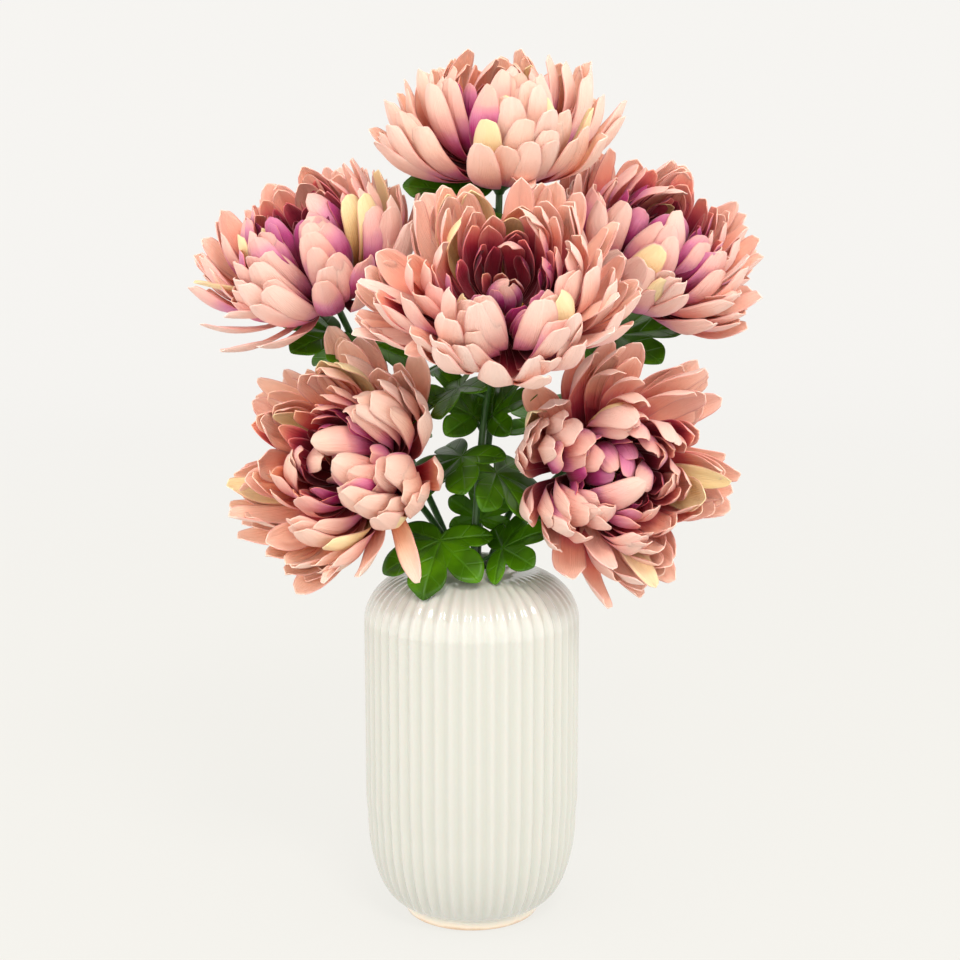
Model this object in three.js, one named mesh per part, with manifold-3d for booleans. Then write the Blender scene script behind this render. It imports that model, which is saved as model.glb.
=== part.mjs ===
// Six fabric chrysanthemums standing in a ribbed stoneware jar.
// Millimetres, +Z up. The origin is the middle of the jar's foot, on the surface that it stands on,
// and -Y is the front of the bunch.
import * as THREE from "three";
import { mergeVertices } from "three/addons/utils/BufferGeometryUtils.js";
import Module from "manifold-3d";

const wasm = await Module();
wasm.setup();

// ---------------------------------------------------------------- driving dimensions
const SEAT_GAP = 0.3; // running gap between pieces that rest on each other

const JAR_HEIGHT = 218;
const JAR_RADIUS = 65; // at the crests of the ribs, where the body is widest
const JAR_WALL = 5;
const JAR_FLOOR = 9;
const FOOT_RADIUS = 41;
const FOOT_HEIGHT = 6.5;
const LOWER_CURVE_HEIGHT = 55; // the body swells from the foot to its full width over this height
const SHOULDER_START = 182;
const SHOULDER_HEIGHT = 31;
const COLLAR_RADIUS = 28;
const MOUTH_RADIUS = 22;
const RIB_COUNT = 50;
const RIB_DEPTH = 1.8;
const HOLLOW_SIDES = 20;

const STEM_RADIUS = 2.1;
const STEM_SIDES = 6;
const STEM_STEPS = 14;
const STEM_FOOT_RADIUS = 27; // circle on the jar's floor where the stems stand
const STEM_FOOT_TWIST = 118; // degrees from a stem's place in the mouth to its foot: a spiral
const STEM_FOOT_LIFT = 0.4; // the middle of a leaning stem's end, above the edge that it stands on
const NECK_RADIUS = 13.5; // circle in the jar's mouth where the stems pass
const CALYX_HEIGHT = 11;
const CALYX_RADIUS = 10.5;

const RECEPTACLE_RADIUS = 11; // the smaller core that the petals stand out of
const RECEPTACLE_HEIGHT = 15;
const STAMEN_RADIUS = 8.2;
const STAMEN_HEIGHT = 3.5;
const SPIKE_COUNT = 7;
const SPIKE_RADIUS = 1.3;
const SPIKE_HEIGHT = 5;
const GOLDEN_ANGLE = 2.4; // radians from one stamen to the next, which spreads them evenly

const PETAL_THICKNESS = 1.5; // at the midrib; the blade thins to its edges
const PETAL_CLAW = 0.22; // width at the root, as a share of the greatest width
const PETAL_CUP = 0.5; // how far the edges stand inward of the midrib, as a share of half the width

const LEAF_THICKNESS = 0.9;
const STALK_HALF_WIDTH = 1.1;

// The rows of petals of one bloom, from the loose outer skirt to the ring round the stamens. A
// petal's midrib is an arc: it leaves the receptacle at `from` degrees above the bloom's own horizon
// and ends at `to` degrees, past 90 where its tip curves back in. `half` is its greatest half width
// and `root` where it starts: radius and height.
const PETAL_ROWS = [
  { count: 10, length: 80, half: 11.5, from: -10, to: 68, root: [9, 2] },
  { count: 10, length: 81, half: 11.5, from: 2, to: 92, root: [9, 5] },
  { count: 9, length: 72, half: 11, from: 16, to: 101, root: [9, 8] },
  { count: 7, length: 60, half: 9.5, from: 34, to: 106, root: [9.4, 10.5] },
  { count: 5, length: 37, half: 7.5, from: 52, to: 104, root: [9.6, 13] },
];
const PETAL_STATIONS = [0, 0.48, 0.9, 1]; // shares of the length where a petal's section is set
// The most that one petal differs from its row: degrees, but for its length, which is a share.
const PETAL_SPREAD = { from: 3, turn: 9, length: 0.05, heading: 3, roll: 9 };

// One row per flower. `base` is the top of its calyx and `faces` the way the bloom looks. `neck` is
// its stem's place round the jar's mouth, in degrees from +X, and `bend` a point that the stem passes
// above the jar. A leaf is [share of the stem, azimuth, rise, stalk, size, nod, roll]: azimuth and
// rise aim its stalk, in degrees, stalk and size are the lengths of its stalk and of its middle lobe,
// nod bends the blade down from the stalk and roll turns it about its middle vein.
const FLOWERS = [
  {
    name: "top", base: [16.5, 22.5, 446], faces: [0, -0.25, 0.97], neck: 75, bend: [13, 23, 320],
    seed: 11,
    leaves: [
      [0.97, 192, 25, 18, 40, 12, -45], [0.96, 312, 0, 12, 30, 20, 0], [0.95, 85, 5, 14, 38, 20, 0],
      [0.83, 50, 10, 14, 38, 25, 0], [0.76, 140, 10, 14, 36, 25, 0], [0.61, 205, 5, 12, 28, 20, 0],
      [0.53, 272, 40, 9, 25, -40, 0],
    ],
  },
  {
    name: "left", base: [-83.5, 20.5, 376], faces: [-0.35, -0.35, 0.87], neck: 150,
    bend: [-62, 42, 324], seed: 23,
    leaves: [
      [0.93, 320, 0, 12, 38, 15, 30], [0.95, 235, 0, 12, 36, 10, -30], [0.91, 95, 5, 14, 38, 25, 0],
      [0.74, 135, 40, 14, 38, 10, 0],
    ],
  },
  {
    name: "middle", base: [18.5, -55, 362.6], faces: [0, -0.68, 0.73], neck: 275,
    bend: [9, -16, 319], seed: 37,
    leaves: [
      [0.8, 140, 50, 10, 38, 0, 0], [0.8, 25, 55, 10, 36, 0, 0], [0.77, 215, -10, 12, 42, 20, 0],
      [0.75, 318, -20, 12, 36, 20, 0], [0.58, 338, 33, 20, 33, 5, 36], [0.86, 195, 20, 16, 38, 50, 0],
    ],
  },
  {
    name: "right", base: [96, 56, 382], faces: [0.42, -0.5, 0.76], neck: 20, bend: [72, 76, 334],
    seed: 41,
    leaves: [
      [0.9, 345, 20, 17, 42, 10, 32], [0.92, 215, -5, 12, 34, 25, -30], [0.9, 80, 5, 14, 38, 25, 0],
      [0.72, 70, 40, 14, 38, 10, 0],
    ],
  },
  {
    name: "lower_left", base: [-58, -12, 273], faces: [-0.54, -0.77, 0.34], neck: 220,
    bend: [-39, 12, 259], seed: 53,
    leaves: [[0.9, 172, 5, 14, 34, 20, -40], [0.74, 250, 38, 18, 40, 78, 0]],
  },
  {
    name: "lower_right", base: [72, -2, 275], faces: [0.38, -0.92, 0.05], neck: 325,
    bend: [60, 27, 271], seed: 67,
    leaves: [
      [0.92, 35, 5, 12, 34, 20, 20], [0.84, 240, 25, 8, 33, 20, -30], [0.8, 10, -10, 10, 30, 20, 0],
    ],
  },
];

// ---------------------------------------------------------------- materials
const glaze = new THREE.MeshStandardMaterial({ color: 0xecebe0, roughness: 0.16, metalness: 0 });
const petalCloth = new THREE.MeshStandardMaterial({ color: 0xe8ab98, roughness: 0.7, metalness: 0 });
const stamenPlastic = new THREE.MeshStandardMaterial({ color: 0xe0941f, roughness: 0.6, metalness: 0 });
const leafCloth = new THREE.MeshStandardMaterial({ color: 0x2f6b1f, roughness: 0.5, metalness: 0 });

// ---------------------------------------------------------------- helpers
const radians = THREE.MathUtils.degToRad;

// A seeded draw between -1 and 1, the same on every run.
function seededDraw(seed) {
  let state = seed;
  return () => {
    state = (state + 0x6d2b79f5) | 0;
    let mixed = Math.imul(state ^ (state >>> 15), 1 | state);
    mixed = (mixed + Math.imul(mixed ^ (mixed >>> 7), 61 | mixed)) ^ mixed;
    return (((mixed ^ (mixed >>> 14)) >>> 0) / 2 ** 32) * 2 - 1;
  };
}

// A closed three.js geometry as a manifold-3d solid, for joining and cutting.
function toSolid(geometry, matrix = new THREE.Matrix4()) {
  const bare = geometry.clone().applyMatrix4(matrix);
  bare.deleteAttribute("normal");
  bare.deleteAttribute("uv");
  const merged = mergeVertices(bare, 1e-3);
  return new wasm.Manifold(
    new wasm.Mesh({
      numProp: 3,
      vertProperties: merged.attributes.position.array,
      triVerts: new Uint32Array(merged.index.array),
    }),
  );
}

// A manifold-3d solid back as a three.js geometry.
function toGeometry(solid) {
  const { vertProperties, triVerts } = solid.getMesh();
  return new THREE.BufferGeometry()
    .setAttribute("position", new THREE.BufferAttribute(vertProperties, 3))
    .setIndex(new THREE.BufferAttribute(triVerts, 1));
}

function namedMesh(name, solid, material) {
  const mesh = new THREE.Mesh(toGeometry(solid), material);
  mesh.name = name;
  return mesh;
}

// Moves every vertex of a geometry to where `place` says, from where it is.
function reshape(geometry, place) {
  const position = geometry.attributes.position;
  for (let i = 0; i < position.count; i++) {
    const moved = place(new THREE.Vector3().fromBufferAttribute(position, i));
    position.setXYZ(i, moved.x, moved.y, moved.z);
  }
  return geometry;
}

// A solid of revolution about +Z from [radius, height] points.
function lathe(points, segments) {
  return new THREE.LatheGeometry(points.map(([r, z]) => new THREE.Vector2(r, z)), segments)
    .rotateX(Math.PI / 2);
}

// Points on a quarter of an ellipse round [r, z], from one angle to another in degrees.
function quarter([r, z], [halfWidth, halfHeight], start, end, steps) {
  return Array.from({ length: steps + 1 }, (_, i) => {
    const angle = radians(start + ((end - start) * i) / steps);
    return [r + halfWidth * Math.cos(angle), z + halfHeight * Math.sin(angle)];
  });
}

// The turn that carries +Z onto a direction.
function turnFromZ(direction) {
  const up = new THREE.Vector3(0, 0, 1);
  return new THREE.Quaternion().setFromUnitVectors(up, direction.clone().normalize());
}

// ---------------------------------------------------------------- jar
// The ribs run from the foot ring up over the shoulder and die out at the collar.
function ribDepthAt(z) {
  const upFromFoot = THREE.MathUtils.smoothstep(z, FOOT_HEIGHT, FOOT_HEIGHT + 12);
  const belowCollar = 1 - THREE.MathUtils.smoothstep(z, SHOULDER_START + SHOULDER_HEIGHT - 4, JAR_HEIGHT - 4);
  return RIB_DEPTH * upFromFoot * belowCollar;
}

function jarSolid() {
  const bodyFoot = FOOT_RADIUS + 1.5;
  const bodyBottom = FOOT_HEIGHT + 1;
  const shoulderDepth = JAR_RADIUS - COLLAR_RADIUS - 1;
  const lowerWidth = JAR_RADIUS - 1 - bodyFoot;
  const lowerTop = bodyBottom + LOWER_CURVE_HEIGHT;
  const outline = [
    [0, 0], [FOOT_RADIUS, 0], [FOOT_RADIUS, FOOT_HEIGHT],
    ...quarter([bodyFoot, lowerTop], [lowerWidth, LOWER_CURVE_HEIGHT], -84, 0, 3),
    ...quarter([COLLAR_RADIUS + 1, SHOULDER_START], [shoulderDepth, SHOULDER_HEIGHT], 0, 88, 4),
    [COLLAR_RADIUS, JAR_HEIGHT - 1.4], [COLLAR_RADIUS - 1.6, JAR_HEIGHT], [0, JAR_HEIGHT],
  ];
  // Two columns of vertices a rib: crests keep the outline's radius and furrows lie deeper.
  const columns = RIB_COUNT * 2;
  const body = reshape(lathe(outline, columns), (p) => {
    const column = Math.round((Math.atan2(p.y, p.x) / (2 * Math.PI)) * columns);
    const radius = Math.hypot(p.x, p.y);
    const inward = Math.abs(column) % 2 && radius > 0 ? ribDepthAt(p.z) / radius : 0;
    return new THREE.Vector3(p.x * (1 - inward), p.y * (1 - inward), p.z);
  });
  const hollowRadius = JAR_RADIUS - JAR_WALL - RIB_DEPTH;
  const hollowFoot = FOOT_RADIUS - 6;
  const hollowLower = [hollowRadius - hollowFoot, LOWER_CURVE_HEIGHT - 4];
  const hollowUpper = [hollowRadius - MOUTH_RADIUS, SHOULDER_HEIGHT - JAR_WALL];
  const hollow = lathe([
    [0, JAR_FLOOR],
    ...quarter([hollowFoot, JAR_FLOOR + hollowLower[1]], hollowLower, -90, 0, 3),
    ...quarter([MOUTH_RADIUS, SHOULDER_START], hollowUpper, 0, 90, 3),
    [MOUTH_RADIUS, JAR_HEIGHT + 1], [0, JAR_HEIGHT + 1],
  ], HOLLOW_SIDES);
  return toSolid(body).subtract(toSolid(hollow));
}

// ---------------------------------------------------------------- blooms
// The share of its greatest width that a petal has at a share of its length: a narrow claw, then a
// spoon that keeps its width almost to the tip.
function petalWidth(along) {
  const swell = THREE.MathUtils.smoothstep(along, 0, 0.6);
  return (PETAL_CLAW + (1 - PETAL_CLAW) * swell) * Math.sqrt(1 - along ** 9);
}

// One spoon-shaped blade, four-sided in section: two edges, a midrib inside and one outside.
function petalSolid(row, azimuth, draw) {
  const start = radians(row.from + PETAL_SPREAD.from * draw());
  const turn = radians(row.to - row.from + PETAL_SPREAD.turn * draw());
  const length = row.length * (1 - PETAL_SPREAD.length * (1 + draw()) / 2);
  const heading = azimuth + radians(PETAL_SPREAD.heading * draw());
  const roll = radians(PETAL_SPREAD.roll * draw());
  const outward = new THREE.Vector3(Math.cos(heading), Math.sin(heading), 0);
  const up = new THREE.Vector3(0, 0, 1);
  const spans = PETAL_STATIONS.length - 1;
  const blade = new THREE.ConeGeometry(1, 1, 4, spans);
  return toSolid(reshape(blade, (p) => {
    const evenly = p.y + 0.5;
    const section = Math.max(1 - evenly, 1e-6);
    const along = PETAL_STATIONS[Math.round(evenly * spans)];
    const slope = start + turn * along;
    const reach = (length / turn) * (Math.sin(slope) - Math.sin(start));
    const climb = (length / turn) * (Math.cos(start) - Math.cos(slope));
    const forward = outward.clone().multiplyScalar(Math.cos(slope)).addScaledVector(up, Math.sin(slope));
    const inward = up.clone().multiplyScalar(Math.cos(slope)).addScaledVector(outward, -Math.sin(slope));
    inward.applyAxisAngle(forward, roll * along);
    const sideways = forward.clone().cross(inward);
    const half = row.half * petalWidth(along);
    const across = evenly < 1 ? p.x / section : 0;
    const through = evenly < 1 ? p.z / section : 0;
    return outward.clone().multiplyScalar(row.root[0] + reach)
      .addScaledVector(up, row.root[1] + climb)
      .addScaledVector(sideways, across * half)
      .addScaledVector(inward, PETAL_CUP * Math.abs(across) * half + (through * PETAL_THICKNESS) / 2);
  }));
}

// Receptacle and petals, fused. The bloom's own +Z is the way it faces, from the top of its calyx.
function bloomSolid(seed) {
  const draw = seededDraw(seed);
  const receptacle = lathe([
    [0, 0], [RECEPTACLE_RADIUS, 0], [RECEPTACLE_RADIUS, RECEPTACLE_HEIGHT], [0, RECEPTACLE_HEIGHT],
  ], 9);
  const petals = PETAL_ROWS.flatMap((row, rank) => {
    const first = (rank * Math.PI) / row.count + draw() * 0.2;
    return Array.from({ length: row.count }, (_, i) =>
      petalSolid(row, first + (2 * Math.PI * i) / row.count, draw));
  });
  return wasm.Manifold.union([toSolid(receptacle), ...petals]);
}

// The yellow boss of stamens that fills the ring left by the innermost petals.
function stamenSolid(seed) {
  const draw = seededDraw(seed + 5);
  const bottom = RECEPTACLE_HEIGHT + SEAT_GAP;
  const top = bottom + STAMEN_HEIGHT;
  const rim = STAMEN_RADIUS - 1;
  const boss = lathe([[0, bottom], [rim, bottom], [rim, top - SPIKE_RADIUS], [0, top]], 8);
  const spikes = Array.from({ length: SPIKE_COUNT }, (_, i) => {
    const radius = (rim - SPIKE_RADIUS) * Math.sqrt((i + 0.5) / SPIKE_COUNT);
    const angle = i * GOLDEN_ANGLE;
    const spike = new THREE.ConeGeometry(SPIKE_RADIUS, SPIKE_HEIGHT, 3, 1).rotateX(Math.PI / 2);
    spike.rotateY(0.25 * draw()).translate(radius * Math.cos(angle), radius * Math.sin(angle), top);
    return toSolid(spike);
  });
  return wasm.Manifold.union([toSolid(boss), ...spikes]);
}

// ---------------------------------------------------------------- stems and leaves
function stemCurve(flower) {
  const base = new THREE.Vector3(...flower.base);
  const facing = new THREE.Vector3(...flower.faces).normalize();
  const onCircle = (radius, degrees, z) =>
    new THREE.Vector3(radius * Math.cos(radians(degrees)), radius * Math.sin(radians(degrees)), z);
  const footHeight = JAR_FLOOR + SEAT_GAP + STEM_FOOT_LIFT;
  const foot = onCircle(STEM_FOOT_RADIUS, flower.neck + STEM_FOOT_TWIST, footHeight);
  const neck = onCircle(NECK_RADIUS, flower.neck, JAR_HEIGHT - 6);
  const above = onCircle(NECK_RADIUS + 1.5, flower.neck, JAR_HEIGHT + 6);
  return new THREE.CatmullRomCurve3([
    foot, foot.clone().lerp(neck, 0.5), neck, above,
    new THREE.Vector3(...flower.bend),
    base.clone().addScaledVector(facing, -CALYX_HEIGHT + 2),
  ]);
}

// A point on the straight-sided stem that is made along the curve.
function stemPoint(curve, share) {
  const step = Math.floor(share * STEM_STEPS);
  const next = curve.getPointAt((step + 1) / STEM_STEPS);
  return curve.getPointAt(step / STEM_STEPS).lerp(next, share * STEM_STEPS - step);
}

function stemSolid(curve) {
  const section = new THREE.Shape(Array.from({ length: STEM_SIDES }, (_, i) => {
    const angle = (2 * Math.PI * i) / STEM_SIDES;
    return new THREE.Vector2(STEM_RADIUS * Math.cos(angle), STEM_RADIUS * Math.sin(angle));
  }));
  return toSolid(new THREE.ExtrudeGeometry(section, { extrudePath: curve, steps: STEM_STEPS }));
}

// The green cup under the petals, with its rim a seat gap below the receptacle.
function calyxSolid(matrix) {
  return toSolid(lathe([
    [0, -CALYX_HEIGHT], [STEM_RADIUS + 0.8, -CALYX_HEIGHT], [CALYX_RADIUS * 0.7, -CALYX_HEIGHT * 0.55],
    [CALYX_RADIUS, -SEAT_GAP], [0, -SEAT_GAP],
  ], 8), matrix);
}

// Half of a leaf's outline, from the tip of its middle lobe round to the stalk: degrees from the
// middle vein, and share of the middle lobe's length. Five broad lobes with narrow clefts between.
const LEAF_HALF = [
  [0, 1], [20, 0.84], [28, 0.52], [36, 0.82], [52, 0.96], [70, 0.78], [80, 0.46], [106, 0.78], [142, 0.36],
];
const LOBE_TIPS = [0, 4, 7]; // which of those points end a lobe
const LEAF_DROOP = 0.14; // how far a lobe's tip hangs, as a share of its length
const LEAF_FOLD = 0.09; // how far a lobe's sides stand above its vein

// The rim of one flat leaf, anticlockwise from its tip, in the leaf's own frame: +X along the middle
// vein, +Z its upper face and the origin where its veins meet. It ends in a stalk like a strap.
function leafRim(size, stalk) {
  const half = LEAF_HALF.map(([degrees, share], i) => {
    const fold = LOBE_TIPS.includes(i) ? 0 : LEAF_FOLD * share;
    const reach = size * share;
    const angle = radians(degrees);
    const lift = size * (fold - LEAF_DROOP * share * share);
    return new THREE.Vector3(reach * Math.cos(angle), reach * Math.sin(angle), lift);
  });
  const mirror = (p) => new THREE.Vector3(p.x, -p.y, p.z);
  const end = new THREE.Vector3(-stalk, STALK_HALF_WIDTH, 0);
  return [...half, end, mirror(end), ...half.slice(1).reverse().map(mirror)];
}

// A lobed blade as one thin fan of triangles, alike on both faces, bent so that its lobes hang.
function leafSolid(curve, [share, azimuth, rise, stalk, size, nod, roll]) {
  const reach = stalk + STEM_RADIUS;
  const rim = leafRim(size, reach);
  const across = new THREE.Vector3(0, 1, 0);
  const disc = new THREE.CylinderGeometry(1, 1, LEAF_THICKNESS, rim.length, 1);
  disc.rotateX(Math.PI / 2).rotateZ(Math.PI / 2);
  reshape(disc, (p) => {
    if (Math.hypot(p.x, p.y) < 0.5) return p;
    const turn = Math.round((Math.atan2(p.y, p.x) / (2 * Math.PI)) * rim.length);
    const corner = rim[(turn + rim.length) % rim.length];
    const onFace = new THREE.Vector3(corner.x, corner.y, corner.z + p.z);
    return corner.x === -reach ? onFace : onFace.applyAxisAngle(across, radians(nod));
  });
  const level = radians(azimuth);
  const climb = radians(rise);
  const forward = new THREE.Vector3(
    Math.cos(climb) * Math.cos(level), Math.cos(climb) * Math.sin(level), Math.sin(climb),
  );
  const left = new THREE.Vector3(-Math.sin(level), Math.cos(level), 0).applyAxisAngle(forward, radians(roll));
  const palm = stemPoint(curve, share).addScaledVector(forward, reach - 0.3);
  const placed = new THREE.Matrix4().makeBasis(forward, left, forward.clone().cross(left)).setPosition(palm);
  return toSolid(disc, placed);
}

function leafyStemSolid(flower, bloomMatrix) {
  const curve = stemCurve(flower);
  return wasm.Manifold.union([
    stemSolid(curve),
    calyxSolid(bloomMatrix),
    ...flower.leaves.map((leaf) => leafSolid(curve, leaf)),
  ]);
}

// ---------------------------------------------------------------- assembly
const bunch = new THREE.Group();
bunch.add(namedMesh("jar", jarSolid(), glaze));
for (const flower of FLOWERS) {
  const head = new THREE.Group();
  head.position.set(...flower.base);
  head.quaternion.copy(turnFromZ(new THREE.Vector3(...flower.faces)));
  head.updateMatrix();
  head.add(namedMesh(`bloom_${flower.name}`, bloomSolid(flower.seed), petalCloth));
  head.add(namedMesh(`stamens_${flower.name}`, stamenSolid(flower.seed), stamenPlastic));
  bunch.add(head, namedMesh(`leafy_stem_${flower.name}`, leafyStemSolid(flower, head.matrix), leafCloth));
}

export default bunch;
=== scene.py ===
"""The looks of six cloth chrysanthemums that stand in a ribbed stoneware jar.

Shapes are worked out in millimetres and scaled to metres when a piece is made. +Z is up, the origin
is the middle of the jar's foot, and -Y is the front of the bunch.
"""
import math
import random

import bmesh
import bpy
from mathutils import Matrix, Quaternion, Vector, noise


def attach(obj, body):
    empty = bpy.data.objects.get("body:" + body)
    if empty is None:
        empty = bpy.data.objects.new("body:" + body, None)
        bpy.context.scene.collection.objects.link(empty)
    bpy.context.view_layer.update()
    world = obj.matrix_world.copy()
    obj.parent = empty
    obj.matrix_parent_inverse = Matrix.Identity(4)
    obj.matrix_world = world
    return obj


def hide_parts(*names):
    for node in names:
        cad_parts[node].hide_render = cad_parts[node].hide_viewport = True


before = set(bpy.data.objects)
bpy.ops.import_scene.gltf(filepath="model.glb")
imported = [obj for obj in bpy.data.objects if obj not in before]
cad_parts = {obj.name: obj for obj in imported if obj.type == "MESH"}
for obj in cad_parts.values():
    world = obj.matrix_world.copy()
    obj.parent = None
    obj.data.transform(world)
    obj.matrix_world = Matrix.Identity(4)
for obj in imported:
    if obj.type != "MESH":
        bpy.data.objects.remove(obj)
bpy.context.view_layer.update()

MM = 0.001
UP = Vector((0, 0, 1))

# ---- camera
CAMERA_PLACE = (0.005, -1.0, 0.4354)
CAMERA_PITCH = 9.554  # degrees below the horizon
CAMERA_LENS = 63.75
SENSOR_WIDTH = 36.0

# ---- jar, as in the part
JAR_HEIGHT = 218
JAR_RADIUS = 65
JAR_FLOOR = 9
INNER_RADIUS = 58.2
FOOT_RADIUS = 41
FOOT_HEIGHT = 6.5
FOOT_RECESS = 1.2  # only here: the part's foot is flat
SHOULDER_START = 182
SHOULDER_HEIGHT = 31
SHOULDER_WIDTH = 36
RIM_RADIUS = 25.6  # the middle of the rim's top
MOUTH_RADIUS = 22
RIB_COUNT = 50
RIB_DEPTH = 1.8
RIB_RUN_IN = 12  # how far above the foot ring the furrows are at their full depth
COLLAR_BLEND = (209, 214)  # the heights between which they die out
JAR_SIDES = 500  # ten faces to a rib
CURVE_STEPS = 22  # rows of faces over the belly and over the shoulder
HOLLOW_STEPS = 12  # the same for the hollow's two curves

# ---- stems, as in the part
STEM_RADIUS = 2.1
STEM_STEPS = 14
STEM_FINE_STEPS = 90
STEM_SIDES = 12
STEM_FOOT_RADIUS = 27
STEM_FOOT_TWIST = 118  # degrees that a stem turns about the jar's axis, from its neck to its foot
STEM_FOOT_RISE = 0.7  # of the middle of its cut end above the jar's floor
NECK_RADIUS = 13.5
NECK_SPREAD = 1.5  # how much further out a stem is above the mouth
NECK_SPAN = 6  # how far below and above the rim it passes its two points there
CALYX_HEIGHT = 11
CALYX_RADIUS = 10.5
CALYX_LAP = 2  # how far the stem runs into it
CALYX_PROFILE = [(-CALYX_HEIGHT, 2.6), (-9, 3.6), (-6, 7.2), (-3, 9.4), (-0.4, CALYX_RADIUS)]
CALYX_SIDES = 24
STALK_RADII = [1.5, 1.35, 1.2, 1.1, 1.0, 0.9, 0.7]
STALK_SIDES = 8
STALK_LAP = 0.3
RECEPTACLE_RADIUS = 11
RECEPTACLE_HEIGHT = 15

# ---- stamens
CORE_TOP_RADIUS = 8.5
CORE_RISE = 1.5  # how much taller than the part's the core is here
CORE_SIDES = 24
STAMEN_COUNT = 90
STAMEN_DISC = 8.0
STAMEN_SPLAY = 0.05  # slope outward for each millimetre from the middle
STAMEN_TILT = (-0.15, 0.15)
STAMEN_HEIGHT = (4.6, 7.4)
STAMEN_FALL = 0.15  # how much shorter one is for each millimetre from the middle
STAMEN_SIDES = 5
STAMEN_RADII = (0.35, 0.75)
STAMEN_TONES = (0.1, 0.8)  # at the root and at the tip
GOLDEN_TURN = 2.4  # radians from one to the next, as they grow in a real head

# ---- petals
# The five rows of the part, from the outer skirt to the ring round the stamens: how long a petal
# is, the slopes that it starts and ends at in degrees, and where it starts as radius and height.
PETAL_ROWS = [
    {"length": 80, "from": -10, "to": 68, "root": (9.0, 2.0)},
    {"length": 81, "from": 2, "to": 92, "root": (9.0, 5.0)},
    {"length": 72, "from": 16, "to": 101, "root": (9.0, 8.0)},
    {"length": 60, "from": 34, "to": 106, "root": (9.4, 10.5)},
    {"length": 37, "from": 52, "to": 104, "root": (9.6, 13.0)},
]
# The cloth rows: where each stands among those five, how many petals it has, half their width, and
# how much further than the part's row their tips bend in over the middle, in degrees.
CLOTH_ROWS = [
    (-0.2, 13, 9.4, 2), (0.1, 15, 9.8, -4), (0.5, 15, 9.8, -6), (0.85, 16, 9.6, -6),
    (1.25, 14, 9.9, -2), (1.65, 13, 9.6, 2), (2.05, 12, 9.2, 6), (2.45, 11, 8.6, 8),
    (2.85, 10, 8.0, 10), (3.25, 9, 7.0, 4), (3.65, 8, 6.0, 0), (4.05, 6, 5.2, -6),
]
INNER_ROWS = (1.2, 2.8)  # between these places a row comes to count as an inner one
CURLING_ROWS = (0.8, 3)  # between these places some petals curl right in over the middle
PETAL_THICKNESS = 0.45
PETAL_COLUMNS = 8
PETAL_STATIONS = 16
STATION_EASE = 1.5  # how much closer the stations stand towards the tip
CLAW_START = 9  # from the middle of the cut disc to the end of the claw
UV_UNIT = 100  # millimetres to a whole step of a UV map

# The form of a blade, as shares of its length from the claw or of its half width.
CLAW_WIDTH = 0.3
SWELL_START = 0.08
SPOON = (0.3, 0.8)  # the claw opens into the spoon between these
CLAW_CUP = 0.3  # the claw's share of the spoon's cup
CUP_POWER = 1.7
HOOD = (0.62, 1.08)  # the tip turns inward between these
CREASE_WIDTH = 0.22
RUFFLE_TURNS = (8, 2.5)  # radians of a ruffle's wave along the blade and across half of it
FRAY_GRAIN = (3, 40)  # steps of the fraying across and along
FRAY_EDGE = 0.8
# Where a blade starts to close, the width that its tip keeps, and how blunt and round its end is.
BLUNT_BLADE = {"shoulder": 0.64, "tip_width": 0.2, "bluntness": 2.4, "round": 0.03}
POINTED_BLADE = {"shoulder": 0.64, "tip_width": 0.05, "bluntness": 1.3, "round": 0.01}
MIDDLE_BLADE = {"shoulder": 0.6, "tip_width": 0.12, "bluntness": 2.0, "round": 0.03}
LOOSE_BLADE = {"shoulder": 0.62, "tip_width": 0.1, "bluntness": 1.9, "round": 0.02}
POINTED_SHARE = 0.12
CREASED_SHARE = 0.5
CURL = (18, 42)  # degrees that a petal which curls in is shut further
PHASES = (0, 30)  # where a petal's ruffles and fraying start
DRIFT = (9, 16)  # degrees that neighbours share, at the claw and at the tip
SHUT_AT_CLAW = 0.4  # the share of a bunch's shutting that its claws follow
INNER_BLUSH = 0.025
HEART_SHORTENING = 0.008  # for each degree that a petal opens to show the heart
BUNCH_ROLL = 27  # degrees that the outermost petals of a bunch turn towards its middle
BUNCH_BEND = 0.06  # share of its length that such a petal bends towards the middle

# The short petals on the core.
MIDDLE_COUNT = 8
MIDDLE_ACROSS = 4  # one in so many bends right across the stamens
MIDDLE_ROOT = (8.6, 14.5)
LOOSE_ROOT = (9.0, 3.0)
LOOSE_ROLL = (-20, 20)
LOOSE_DYE = 1.2  # a loose petal is cut from a larger disc

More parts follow.
